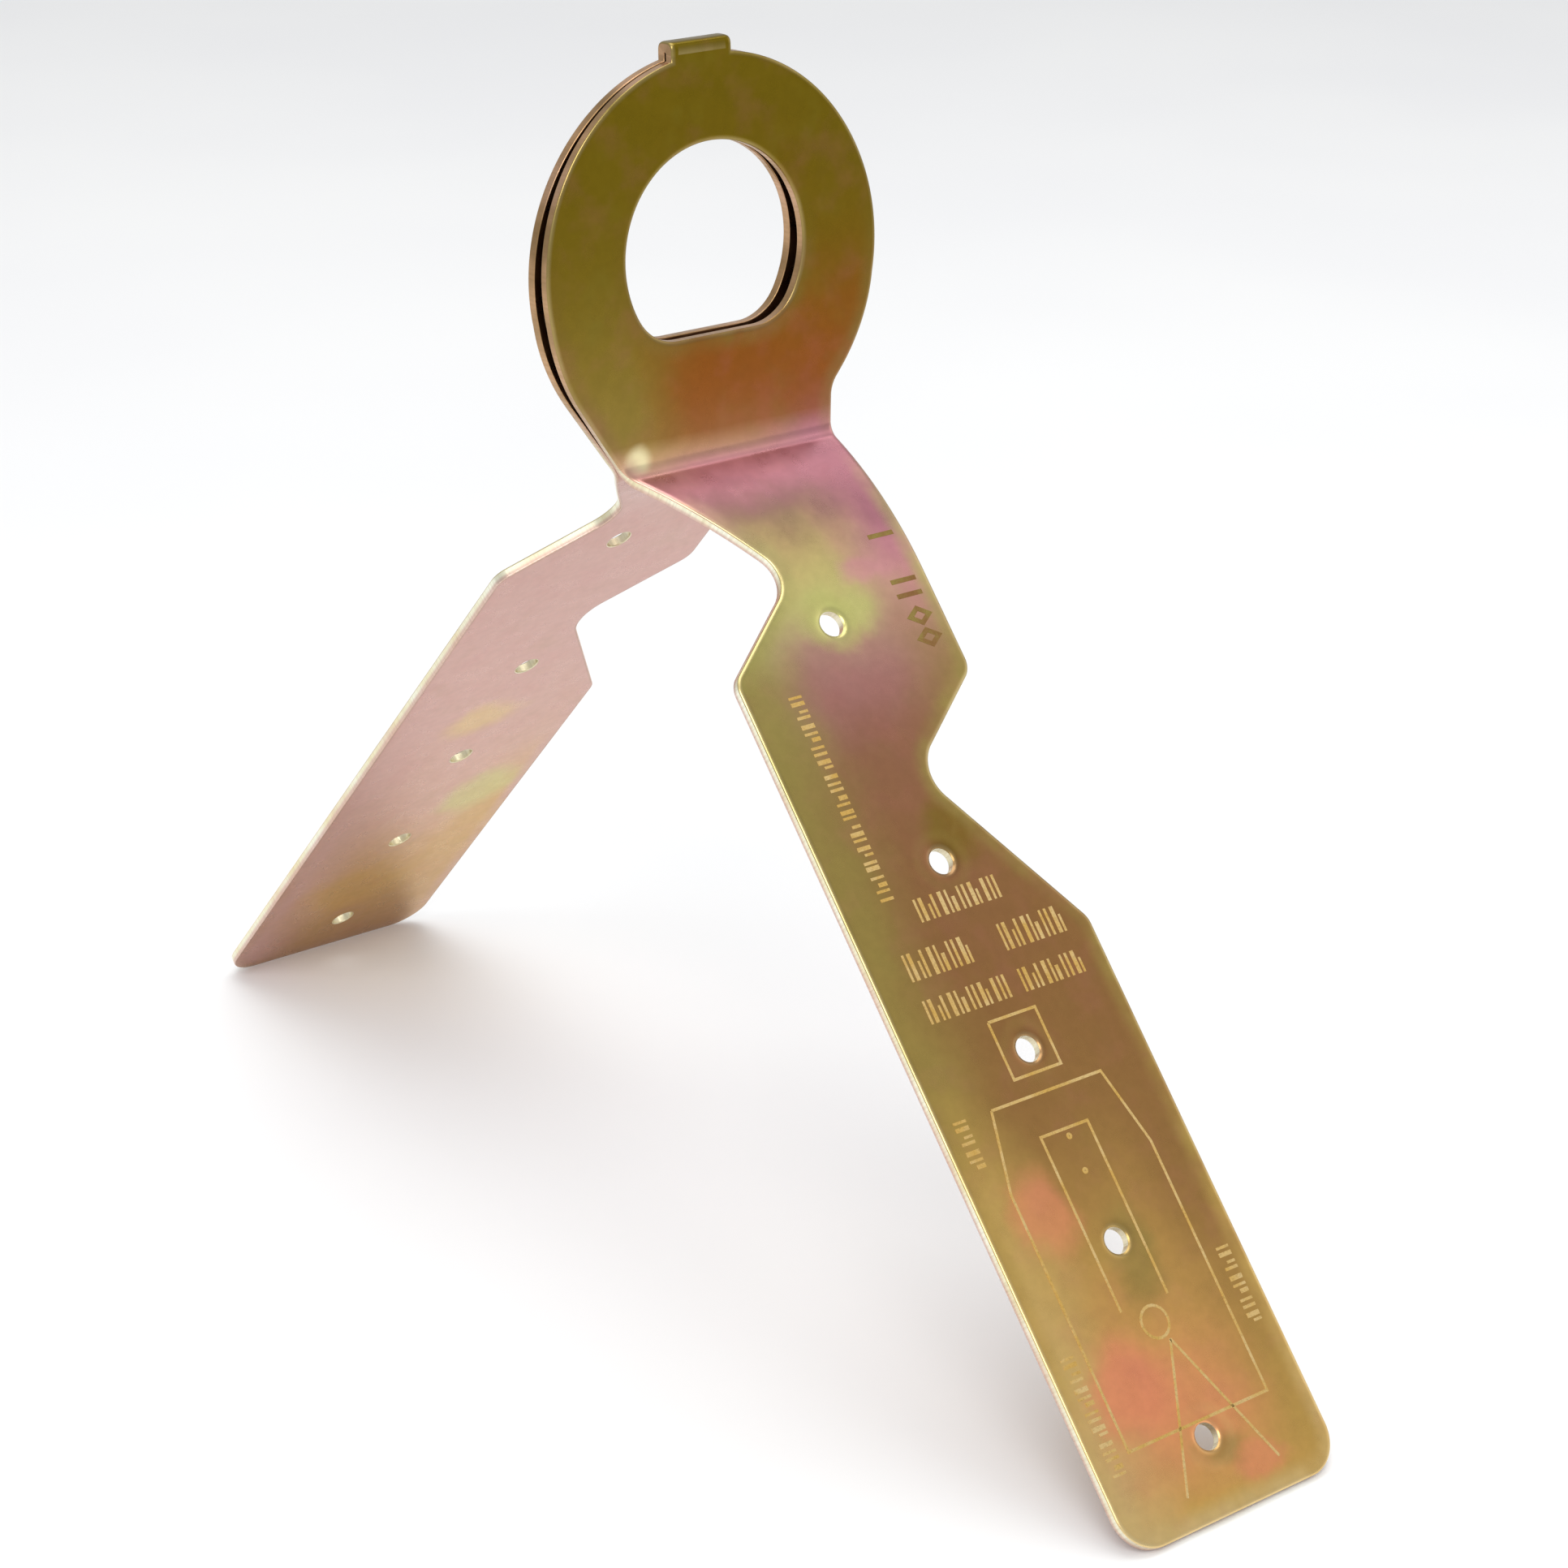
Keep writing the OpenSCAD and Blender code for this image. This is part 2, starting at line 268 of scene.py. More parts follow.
def stand(x, y, z):
    """Points given square to the ring, turned and moved to where the part stands."""
    c, s = math.cos(LEAN), math.sin(LEAN)
    return np.stack([np.asarray(x, float), y * c - z * s + STAND_Y, y * s + z * c + STAND_Z], 1)


# ---- Outlines of the flat sheet ----


def unit(v):
    return v / np.linalg.norm(v)


def arc(centre, r, a0, a1, step):
    """Points of an arc, at most a step apart."""
    n = max(2, math.ceil(abs(a1 - a0) * r / step))
    a = np.linspace(a0, a1, n + 1)
    return [np.array(centre) + r * np.array([math.cos(t), math.sin(t)]) for t in a]


def filleted(corners):
    """A closed path through (x, s, radius) corners, with an arc at each one that has a radius."""
    path = []
    n = len(corners)
    for i, (x, s, r) in enumerate(corners):
        b = np.array([x, s])
        u = unit(np.array(corners[i - 1][:2]) - b)
        w = unit(np.array(corners[(i + 1) % n][:2]) - b)
        if r == 0:
            path.append(b)
            continue
        half = math.acos(np.clip(u @ w, -1, 1)) / 2
        centre = b + unit(u + w) * r / math.sin(half)
        p, q = b + u * r / math.tan(half) - centre, b + w * r / math.tan(half) - centre
        a0, a1 = math.atan2(p[1], p[0]), math.atan2(q[1], q[0])
        a1 += 2 * math.pi * round((a0 - a1) / (2 * math.pi))
        path += arc(centre, r, a0, a1, FILLET_STEP)
    return path


def touch_angle(p, centre, r, side):
    """Angle on a circle at which a line from p touches it."""
    d = np.array(centre) - np.array(p)
    a = math.atan2(d[1], d[0]) + side * math.asin(r / np.linalg.norm(d))
    run = math.sqrt(d @ d - r * r)
    q = np.array(p) + run * np.array([math.cos(a), math.sin(a)]) - np.array(centre)
    return math.atan2(q[1], q[0])


def sampled(path, rows, step):
    """The closed path with no gap above step, and a point on each row that it crosses."""
    out = []
    for p, q in zip(path, path[1:] + path[:1]):
        cuts = set(np.linspace(0, 1, max(2, math.ceil(np.linalg.norm(q - p) / step) + 1))[:-1])
        if abs(q[1] - p[1]) > 1e-9:
            for row in rows:
                t = (row - p[1]) / (q[1] - p[1])
                if 0.02 < t < 0.98:
                    cuts = {c for c in cuts if c == 0 or abs(c - t) * abs(q[1] - p[1]) > 0.1 * MM}
                    cuts.add(t)
        out += [p + (q - p) * t for t in sorted(cuts)]
    return np.array(out)


def half_loops(half, rows):
    """The outline of one half, its eye and its nail holes."""
    right, left = LEG_W / 2 + LEG_OFFSET, LEG_W / 2 - LEG_OFFSET
    top = BEND_RISE - (FOLD_RISE - TAB_LAP)
    tab_right, tab_left = TAB_W / 2 - TAB_LEFT, -TAB_W / 2 - TAB_LEFT
    ring, lobe = (0.0, BEND_RISE - RING_RISE), (0.0, BEND_RISE - LOBE_RISE)
    notch = (WAIST_RIGHT, BEND_RISE - WAIST_NOTCH)
    # the ring's circle and the lower one cross here, given by their angles at the right
    apart = RING_RISE - LOBE_RISE
    cross = (RING_R**2 - LOBE_R**2 + apart**2) / (2 * apart)
    ring_a, lobe_a = math.asin(cross / RING_R), math.asin((cross - apart) / LOBE_R)
    touch_right = touch_angle(notch, lobe, LOBE_R, 1)
    touch_left = touch_angle((-WAIST_LEFT, 0), lobe, LOBE_R, -1)
    touch_left -= 2 * math.pi * (touch_left > 0)
    top_right = -math.pi / 2 + math.asin(tab_right / RING_R)
    top_left = -math.pi / 2 + math.asin(tab_left / RING_R)
    round_points = (
        arc(lobe, LOBE_R, touch_right, lobe_a, ARC_STEP)[:-1]
        + arc(ring, RING_R, ring_a, top_right, ARC_STEP),
        arc(ring, RING_R, top_left, -math.pi - ring_a, ARC_STEP)
        + arc(lobe, LOBE_R, -math.pi - lobe_a, touch_left, ARC_STEP)[1:],
    )
    circle, back = [[(*p, 0) for p in points] for points in round_points]
    corners = [
        (-left, half.station(LEG_L), FOOT_R),
        (right, half.station(LEG_L), FOOT_R),
        (right, half.station(RIGHT_SHOULDER), SHOULDER_R),
        (RIGHT_NOTCH_X, half.station(RIGHT_NOTCH), RIGHT_NOTCH_R),
        (right - HIP_INSET, half.station(RIGHT_HIP), SHOULDER_R),
        (WAIST_RIGHT, half.bend_l, 0),
        (WAIST_RIGHT, 0.0, 0),
        (*notch, WAIST_NOTCH_R),
        *circle,
        (tab_right, top, 0),
        (tab_left, top, 0),
        *back,
        (-WAIST_LEFT, 0.0, 0),
        (-LEFT_NOTCH_X, half.station(LEFT_NOTCH), LEFT_NOTCH_R),
        (-left, half.station(LEFT_SHOULDER), SHOULDER_R),
    ]
    outer = sampled(filleted(corners), rows, EDGE_STEP)
    corner_y = EYE_FLAT - EYE_CORNER_R
    corner_x = math.sqrt((EYE_R - EYE_CORNER_R) ** 2 - corner_y**2)
    eye_s = BEND_RISE - EYE_RISE
    a = math.atan2(corner_y, corner_x)
    eye = (
        arc((0, eye_s), EYE_R, math.pi - a, 2 * math.pi + a, EYE_STEP)[:-1]
        + arc((corner_x, eye_s + corner_y), EYE_CORNER_R, a, math.pi / 2, EYE_STEP)
        + arc((-corner_x, eye_s + corner_y), EYE_CORNER_R, math.pi / 2, math.pi - a, EYE_STEP)[:-1]
    )
    holes = [
        arc((LEG_OFFSET, half.station(v)), NAIL_R, 0, 2 * math.pi, NAIL_STEP)[:-1] for v in NAILS
    ]
    return [outer, sampled(eye, [], EDGE_STEP)] + [np.array(h) for h in holes]


# ---- From outline to formed sheet ----


def area_of(loop):
    x, y = loop[:, 0], loop[:, 1]
    return (x @ np.roll(y, -1) - y @ np.roll(x, -1)) / 2


def inset_moves(loop, is_cap):
    """How each point of a loop moves for each metre of inset. A capped side keeps its line."""
    edge = np.roll(loop, -1, 0) - loop
    edge /= np.linalg.norm(edge, axis=1)[:, None]
    n1 = np.stack([-edge[:, 1], edge[:, 0]], 1)
    n0 = np.roll(n1, 1, 0)
    cap1, cap0 = is_cap, np.roll(is_cap, 1)
    moves = (n0 + n1) / (1 + (n0 * n1).sum(1))[:, None]
    for i in np.nonzero(cap0 | cap1)[0]:
        if cap0[i] and cap1[i]:
            moves[i] = 0
        else:
            along = -edge[i - 1] if cap0[i] else edge[i]
            moves[i] = along / (along @ (n1[i] if cap0[i] else n0[i]))
    return moves


def inside(points, loops):
    """Whether each point is inside the outline and outside its holes."""
    a = np.concatenate(loops)
    b = np.concatenate([np.roll(loop, -1, 0) for loop in loops])
    px, py = points[:, 0][:, None], points[:, 1][:, None]
    spans = (a[:, 1] > py) != (b[:, 1] > py)
    rise = np.where(b[:, 1] == a[:, 1], 1, b[:, 1] - a[:, 1])
    cross = a[:, 0] + (py - a[:, 1]) * (b[:, 0] - a[:, 0]) / rise
    return ((spans & (px < cross)).sum(1) % 2).astype(bool)


def gap_to(points, loops):
    """Distance from each point to the nearest outline point."""
    cloud = np.concatenate(loops)
    return np.array([np.sqrt(((cloud - p) ** 2).sum(1).min()) for p in points])


def cross_section():
    """Inset and height of each ring of points round a cut edge, from outer face to inner."""
    half = SHEET_T / 2
    turn = [math.pi / 2 * k / EDGE_STEPS for k in range(EDGE_STEPS + 1)]
    outer = [(ROLL_W * (1 - math.sin(a)), half - ROLL_H * (1 - math.cos(a))) for a in turn]
    inner = [(BURR_W * (1 - math.cos(a)), -half + BURR_H * (1 - math.sin(a))) for a in turn]
    wall_top, wall_foot = half - ROLL_H - WALL_SUPPORT, -half + BURR_H + WALL_SUPPORT
    wall = [(0.0, wall_top), (0.0, 0.0), (0.0, wall_foot)]
    return [(ROLL_W + SUPPORT, half), *outer, *wall, *inner, (ROLL_W + SUPPORT, -half)]


def build_sheet(name, surface, loops, grid, materials, cap_at=(), relief=None, s_shift=0.0):
    """A closed sheet of full thickness. grid holds points inside the outline, and cap_at
    the s values of the sides that end flat, where another sheet carries on. s_shift turns
    the sheet's own s into that of the half that it carries on."""
    rings = cross_section()
    # the outline runs one way round and the holes the other
    loops = [
        np.array(loop) if (area_of(loop) > 0) == (i == 0) else np.array(loop)[::-1]
        for i, loop in enumerate(loops)
    ]
    caps = [
        np.array([
            any(abs(p[1] - c) < SAME_PLACE and abs(q[1] - c) < SAME_PLACE for c in cap_at)
            for p, q in zip(loop, np.roll(loop, -1, 0))
        ])
        for loop in loops
    ]
    moves = [inset_moves(loop, cap) for loop, cap in zip(loops, caps)]
    starts = np.cumsum([0] + [len(loop) for loop in loops])
    n_edge = starts[-1]
    flat, height, edge_gap = [], [], []
    for inset, h in rings:
        for loop, move in zip(loops, moves):
            flat.append(loop + move * inset)
        height.append(np.full(n_edge, h))
        edge_gap.append(np.full(n_edge, inset))
    inner = [loop + move * rings[0][0] for loop, move in zip(loops, moves)]
    points = grid[inside(grid[:, :2], inner), :]
    far = gap_to(points[:, :2], inner)
    points = points[far > CROWDED * points[:, 2], :2]
    faces = triangles(inner, points)
    n_in = len(points)
    gap_in = gap_to(points, loops)
    base = len(rings) * n_edge
    for h in (SHEET_T / 2, -SHEET_T / 2):
        flat.append(points)
        height.append(np.full(n_in, h))
        edge_gap.append(gap_in)
    xy, h, gap = np.concatenate(flat), np.concatenate(height), np.concatenate(edge_gap)
    # a whole metre, where the sheet has no nail holes
    bore_gap = np.full(len(xy), 1.0)
    if relief is not None:
        h = h + relief(xy, h)
        bore_gap = bore_gap_of(surface, xy)
    co = surface.place(xy[:, 0], xy[:, 1], h)
    last = (len(rings) - 1) * n_edge
    quads, face_kind = [], []
    last_k = len(rings) - 2
    top = [[i if i < n_edge else base + i - n_edge for i in f] for f in faces]
    bottom = [
        [last + i if i < n_edge else base + n_in + i - n_edge for i in reversed(f)] for f in faces
    ]
    for k in range(len(rings) - 1):
        for start, loop, cap in zip(starts, loops, caps):
            n = len(loop)
            for i in range(n):
                j = (i + 1) % n
                a, b = k * n_edge + start + i, k * n_edge + start + j
                quads.append([b, a, a + n_edge, b + n_edge])
                side = OUTER if k <= EDGE_STEPS else INNER if k == last_k else CUT
                face_kind.append(CAP if cap[i] else side)
    mesh = bpy.data.meshes.new(name)
    mesh.from_pydata(co.tolist(), [], top + bottom + quads)
    kinds = [OUTER] * len(top) + [INNER] * len(bottom) + face_kind
    mesh.polygons.foreach_set("material_index", np.minimum(kinds, CUT))
    mesh.polygons.foreach_set("use_smooth", [kind != CAP for kind in kinds])
    place = mesh.attributes.new("sheet_place", "FLOAT_VECTOR", "POINT")
    flat_place = np.column_stack([xy[:, 0], xy[:, 1] + s_shift, h])
    place.data.foreach_set("vector", flat_place.astype(np.float32).ravel())
    for key, values in (("edge_gap", gap), ("bore_gap", bore_gap)):
        gaps = mesh.attributes.new(key, "FLOAT", "POINT")
        gaps.data.foreach_set("value", values.astype(np.float32))
    bm = bmesh.new()
    bm.from_mesh(mesh)
    bmesh.ops.remove_doubles(bm, verts=bm.verts, dist=SAME_PLACE)
    bmesh.ops.recalc_face_normals(bm, faces=bm.faces)
    for edge in bm.edges:
        if len({f.smooth for f in edge.link_faces}) > 1:
            edge.smooth = False
    bm.to_mesh(mesh)
    bm.free()
    for material in materials:
        mesh.materials.append(material)
    piece = bpy.data.objects.new(name, mesh)
    bpy.context.scene.collection.objects.link(piece)
    return piece


def triangles(loops, points):
    """Triangles of the outlines' points and the inner points, by their numbers."""
    # worked out in millimetres
    scale = 1000
    starts = np.cumsum([0] + [len(loop) for loop in loops])
    edges = []
    for start, loop in zip(starts, loops):
        n = len(loop)
        edges += [(start + i, start + (i + 1) % n) for i in range(n)]
    cloud = np.concatenate([*loops, points]) * scale
    verts, _, faces, origins, *_ = delaunay_2d_cdt([Vector(p) for p in cloud], edges, [], 0, 1e-6)
    first = [o[0] for o in origins]
    flat = np.array([list(v) for v in verts]) / scale
    centres = np.array([flat[list(f)].mean(0) for f in faces])
    keep = inside(centres, loops)
    return [[first[i] for i in f] for f, k in zip(faces, keep) if k]


def half_grid(half):
    """Points inside the outline: (x, s, spacing), with close rows where the sheet is bent."""
    rows = []
    spans = [
        (BEND_RISE - FOLD_RISE + 2 * MM, -2 * MM, 3 * MM),
        (-1.2 * MM, half.bend_l + 1.2 * MM, 0.4 * MM),
        (half.bend_l + 2 * MM, half.plate_s + 1 * MM, 1.0 * MM),
        (half.plate_s + 3 * MM, half.station(LEG_L), 3.2 * MM),
    ]
    for s0, s1, step in spans:
        n = max(1, round((s1 - s0) / step))
        rows += [(s, step) for s in np.linspace(s0, s1, n + 1)]
    columns = np.arange(-51, 52, 3) * MM
    grid = [(x, s, step) for s, step in rows for x in columns]
    for v in NAILS:
        for out in (0.5, 1.0, 1.8):
            out_r = NAIL_R + ROLL_W + SUPPORT + out * MM
            ring = arc((LEG_OFFSET, half.station(v)), out_r, 0, 2 * math.pi, HALO_STEP)
            grid += [(*p, 0.1 * MM) for p in ring[:-1]]
    close = [s for s, step in rows if step < 1.5 * MM]
    grid = np.array(grid)
    for v in NAILS:
        d = np.hypot(grid[:, 0] - LEG_OFFSET, grid[:, 1] - half.station(v))
        crowd = (d < NAIL_R + ROLL_W + SUPPORT + HALO_W) & (grid[:, 2] > 0.2 * MM)
        grid = grid[~crowd]
    return grid, close


def bore_gap_of(half, xy):
    """Distance from each place to the nearest nail hole's edge."""
    holes = [np.hypot(xy[:, 0] - LEG_OFFSET, xy[:, 1] - half.station(v)) for v in NAILS]
    return np.maximum(np.min(holes, 0) - NAIL_R, 0)


def nail_relief(half):
    """The punch draws the outer face in a little round a hole, and the underside bulges."""

    def heights(xy, h):
        extra = np.zeros(len(xy))
        for v in NAILS:
            d = np.hypot(xy[:, 0] - LEG_OFFSET, xy[:, 1] - half.station(v)) - NAIL_R
            near = np.exp(-np.square(np.maximum(d, 0) / DRAW_REACH))
            extra -= near * np.where(h > FACE_H, DRAW_OUTER, np.where(h < -FACE_H, DRAW_INNER, 0))
        return extra

    return heights


# ---- Procedural finishes ----


def linear(rgb):
    """A linear colour from sRGB values of 0 to 255."""
    c = np.array(rgb) / 255
    c = np.where(c <= 0.04045, c / 12.92, ((c + 0.055) / 1.055) ** 2.4)
    return (*[float(v) for v in c], 1.0)


class Paint:
    """One material, with all its nodes around a single Principled shader."""

    def __init__(self, name):
        self.material = bpy.data.materials.new(name)
        self.material.use_nodes = True
        self.nodes, self.links = self.material.node_tree.nodes, self.material.node_tree.links
        self.nodes.clear()
        self.shader = self.nodes.new("ShaderNodeBsdfPrincipled")
        output = self.nodes.new("ShaderNodeOutputMaterial")
        self.links.new(self.shader.outputs["BSDF"], output.inputs["Surface"])

    def put(self, socket, value):
        if isinstance(value, bpy.types.NodeSocket):
            self.links.new(value, socket)
        else:
            socket.default_value = value

    def node(self, kind, inputs, **settings):
        made = self.nodes.new("ShaderNode" + kind)
        for key, value in settings.items():
            setattr(made, key, value)
        for key, value in inputs.items():
            self.put(made.inputs[key], value)
        return made

    def math(self, operation, a, b=0.0):
        return self.node("Math", {0: a, 1: b}, operation=operation).outputs[0]

    def vector(self, operation, a, b):
        return self.node("VectorMath", {0: a, 1: b}, operation=operation).outputs[0]

    def noise(self, at, scale, detail=2.0, rough=0.5, out="Fac"):
        inputs = {"Vector": at, "Scale": scale, "Detail": detail, "Roughness": rough}
        return self.node("TexNoise", inputs).outputs[out]

    def smooth(self, value, low, high, at_low=0.0, at_high=1.0):
        """Goes smoothly from at_low to at_high as value goes from low to high."""
        inputs = {"Value": value, "From Min": low, "From Max": high}
        inputs |= {"To Min": at_low, "To Max": at_high}
        return self.node("MapRange", inputs, interpolation_type="SMOOTHSTEP").outputs["Result"]

    def mix(self, amount, a, b, blend_type="MIX"):
        made = self.node("Mix", {0: amount, 6: a, 7: b}, data_type="RGBA", blend_type=blend_type)
        return made.outputs[2]

    def ramp(self, value, stops):
        """A colour ramp through (place, sRGB colour) stops, with places from 0 to 1."""
        made = self.node("ValToRGB", {"Fac": value})
        band = made.color_ramp
        band.interpolation = "B_SPLINE"
        for i, (place, rgb) in enumerate(stops):
            stop = band.elements[i] if i < 2 else band.elements.new(1.0)
            stop.position = place
            stop.color = linear(rgb)
        return made.outputs["Color"]


# The colour ramps run over this stretch of s
S_LOW, S_HIGH = -100 * MM, 292 * MM
# How far the film's clouds and their finer ripple shift it, across and down the sheet
CLOUD_SHIFT, RIPPLE_SHIFT = (18 * MM, 12 * MM, 0.0), (7 * MM, 7 * MM, 0.0)


def by_s(stops):
    """Stops given by s in millimetres, as places from 0 to 1."""
    return [((s * MM - S_LOW) / (S_HIGH - S_LOW), rgb) for s, rgb in stops]


def plating(name, tracks, edges, patches, rim_wear_and_highlight_w, rim_wear_and_highlight_rgb, seed):
    """Yellow zinc plating with its rainbow film. tracks are the film's colours down the left,
    the middle and the right of the sheet, and edges those along the cut edges, all by s.
    patches are (x, s, half width, half length, colour, strength) in millimetres. The tracks
    may hold a painted reflection and the patches a painted highlight. The film is rubbed to
    the rim colour up to the rim width in millimetres from a cut edge, and a pale rim there is
    also a painted highlight of the rolled edge."""
    paint = Paint(name)
    place = paint.node("Attribute", {}, attribute_name="sheet_place").outputs["Vector"]
    gap = paint.node("Attribute", {}, attribute_name="edge_gap").outputs["Fac"]
    bore_gap = paint.node("Attribute", {}, attribute_name="bore_gap").outputs["Fac"]
    off_bore = paint.smooth(bore_gap, 1 * MM, 6 * MM)
    seeded = paint.vector("ADD", place, (seed, seed * 0.7, seed * 0.3))
    # the film's colours drift in soft irregular clouds
    drift = paint.noise(seeded, 26.0, 2.0, 0.5, "Color")
    drift = paint.vector("SUBTRACT", drift, (0.5, 0.5, 0.5))
    drift = paint.vector("MULTIPLY", drift, CLOUD_SHIFT)
    ripple = paint.noise(seeded, 110.0, 3.0, 0.55, "Color")
    ripple = paint.vector("SUBTRACT", ripple, (0.5, 0.5, 0.5))
    drift = paint.vector("ADD", drift, paint.vector("MULTIPLY", ripple, RIPPLE_SHIFT))
    # no drift across the crease, where ring and leg meet
    from_crease = paint.math("ABSOLUTE", paint.node("SeparateXYZ", {"Vector": place}).outputs["Y"])
    calm = paint.smooth(from_crease, 2 * MM, 16 * MM, 0.08, 1.0)
    at = paint.vector("ADD", place, paint.vector("MULTIPLY", drift, calm))
    axes = paint.node("SeparateXYZ", {"Vector": at})
    span = {"Value": axes.outputs["Y"], "From Min": S_LOW, "From Max": S_HIGH}
    along = paint.node("MapRange", span).outputs["Result"]
    left, colour, right = [paint.ramp(along, by_s(track)) for track in tracks]
    colour = paint.mix(paint.smooth(axes.outputs["X"], -30 * MM, -4 * MM, 1.0, 0.0), colour, left)
    colour = paint.mix(paint.smooth(axes.outputs["X"], 8 * MM, 32 * MM, 0.0, 1.0), colour, right)
    for x, s, half_w, half_l, rgb, strength in patches:
        away = paint.vector("SUBTRACT", at, (x * MM, s * MM, 0.0))
        away = paint.vector("MULTIPLY", away, (1 / (half_w * MM), 1 / (half_l * MM), 0.0))
        far = paint.node("VectorMath", {0: away}, operation="LENGTH").outputs["Value"]
        colour = paint.mix(paint.smooth(far, 0.35, 1.1, strength, 0.0), colour, linear(rgb))
    cloud = paint.noise(seeded, 55.0, 3.0, 0.6)
    near_edge = paint.smooth(gap, 1.0 * MM, 6 * MM, 0.85, 0.0)
    near_edge = paint.math("MULTIPLY", near_edge, paint.smooth(cloud, 0.3, 0.65, 0.35, 1.0))
    near_edge = paint.math("MULTIPLY", near_edge, off_bore)
    colour = paint.mix(near_edge, colour, paint.ramp(along, by_s(edges)))
    # rose and green interference mottle, then a faint grain
    rose = paint.smooth(paint.noise(seeded, 90.0, 3.0, 0.55), 0.45, 0.75, 0.0, 0.08)
    colour = paint.mix(rose, colour, linear((200, 110, 120)))
    green = paint.smooth(paint.noise(seeded, 70.0, 3.0, 0.55), 0.52, 0.8, 0.0, 0.08)
    colour = paint.mix(green, colour, linear((140, 150, 70)))
    grain = paint.noise(seeded, 420.0, 2.0, 0.5)
    colour = paint.mix(1.0, colour, paint.smooth(grain, 0.25, 0.75, 0.97, 1.03), "MULTIPLY")
    # the film is rubbed at the cut edges: thin and pale outside, where the pale rim is also a painted
    # highlight of the rolled edge, and dull on the inner burr
    rim_wear_and_highlight = paint.smooth(gap, 0.1 * MM, rim_wear_and_highlight_w * MM, 1.0, 0.0)
    rim_wear_and_highlight = paint.math("MULTIPLY", rim_wear_and_highlight, paint.smooth(cloud, 0.35, 0.6, 0.5, 1.0))
    rim_wear_and_highlight = paint.math("MULTIPLY", rim_wear_and_highlight, paint.smooth(axes.outputs["Y"], -10 * MM, 30 * MM, 0.22, 0.5))
    rim_wear_and_highlight = paint.math("MULTIPLY", rim_wear_and_highlight, paint.smooth(bore_gap, 0.0, 3 * MM, 0.3, 1.0))
    colour = paint.mix(rim_wear_and_highlight, colour, linear(rim_wear_and_highlight_rgb))
    paint.put(paint.shader.inputs["Base Color"], colour)
    paint.shader.inputs["Metallic"].default_value = 1.0
    blotch = paint.noise(seeded, 140.0, 4.0, 0.6)
    paint.put(paint.shader.inputs["Roughness"], paint.smooth(blotch, 0.3, 0.7, 0.26, 0.34))
    # a soft waviness of the rolled sheet
    wave = paint.noise(seeded, 30.0, 1.0, 0.4)
    bump = paint.node("Bump", {"Height": wave, "Strength": 1.0, "Distance": 0.08 * MM})
    paint.put(paint.shader.inputs["Normal"], bump.outputs[0])
    return paint.material


def cut_edge(name, seed):
    """Plated cut edge, with the fine upright lines that cutting leaves. Its near-white on the legs is
    a painted highlight.
    """
    paint = Paint(name)
    place = paint.node("Attribute", {}, attribute_name="sheet_place").outputs["Vector"]
    axes = paint.node("SeparateXYZ", {"Vector": place})
    down, depth = axes.outputs["Y"], axes.outputs["Z"]
    seeded = paint.vector("ADD", place, (seed, seed, 0.0))
    lines_at = paint.vector("MULTIPLY", seeded, (1500.0, 1500.0, 120.0))
    lines = paint.noise(lines_at, 1.0, 2.0, 0.5)
    tone = paint.noise(seeded, 60.0, 3.0, 0.6)
    # the ring's cut edges keep a darker plated tone; the near-white on the legs' edges is a painted
    # highlight
    on_ring = paint.mix(paint.smooth(tone, 0.3, 0.7), linear((200, 160, 120)), linear((150, 120, 80)))
    highlit_leg_edge = paint.mix(paint.smooth(tone, 0.3, 0.7), linear((250, 250, 230)), linear((240, 230, 190)))
    # the half towards the inner face carries the film of that face
    bore_gap = paint.node("Attribute", {}, attribute_name="bore_gap").outputs["Fac"]
    inward = paint.smooth(depth, -0.9 * MM, 0.2 * MM, 0.75, 0.0)
    inward = paint.math("MULTIPLY", inward, paint.smooth(bore_gap, 0.0, 2 * MM))
    highlit_leg_edge = paint.mix(inward, highlit_leg_edge, linear((210, 170, 160)))
    colour = paint.mix(paint.smooth(down, -20 * MM, 10 * MM), on_ring, highlit_leg_edge)
    colour = paint.mix(paint.smooth(bore_gap, 0.0, 2 * MM, 0.2, 0.0), colour, linear((160, 130, 80)))
    rosy = paint.smooth(paint.noise(seeded, 34.0, 2.0, 0.5), 0.5, 0.7, 0.0, 0.4)
    colour = paint.mix(rosy, colour, linear((220, 180, 160)))
    colour = paint.mix(paint.smooth(lines, 0.35, 0.7, 0.0, 0.15), colour, linear((130, 100, 60)))
    paint.put(paint.shader.inputs["Base Color"], colour)
    paint.shader.inputs["Metallic"].default_value = 1.0
    paint.put(paint.shader.inputs["Roughness"], paint.smooth(lines, 0.3, 0.7, 0.28, 0.42))
    bump = paint.node("Bump", {"Height": lines, "Strength": 0.4, "Distance": 0.03 * MM})
    paint.put(paint.shader.inputs["Normal"], bump.outputs[0])
    return paint.material


def mark_finish(name, pale, deep):
    """Marks burnt lightly into the plating."""
    paint = Paint(name)
    place = paint.node("TexCoord", {}).outputs["Object"]
    tone = paint.noise(place, 130.0, 4.0, 0.6)
    speck = paint.noise(place, 1900.0, 3.0, 0.7)
    colour = paint.mix(paint.smooth(tone, 0.35, 0.65), linear(pale), linear(deep))
    colour = paint.mix(paint.smooth(speck, 0.45, 0.7, 0.0, 0.35), colour, linear((120, 90, 40)))
    paint.put(paint.shader.inputs["Base Color"], colour)
    paint.shader.inputs["Metallic"].default_value = 0.85
    paint.put(paint.shader.inputs["Roughness"], paint.smooth(speck, 0.3, 0.7, 0.36, 0.52))
    bump = paint.node("Bump", {"Height": speck, "Strength": 0.4, "Distance": 0.02 * MM})
    paint.put(paint.shader.inputs["Normal"], bump.outputs[0])
    return paint.material


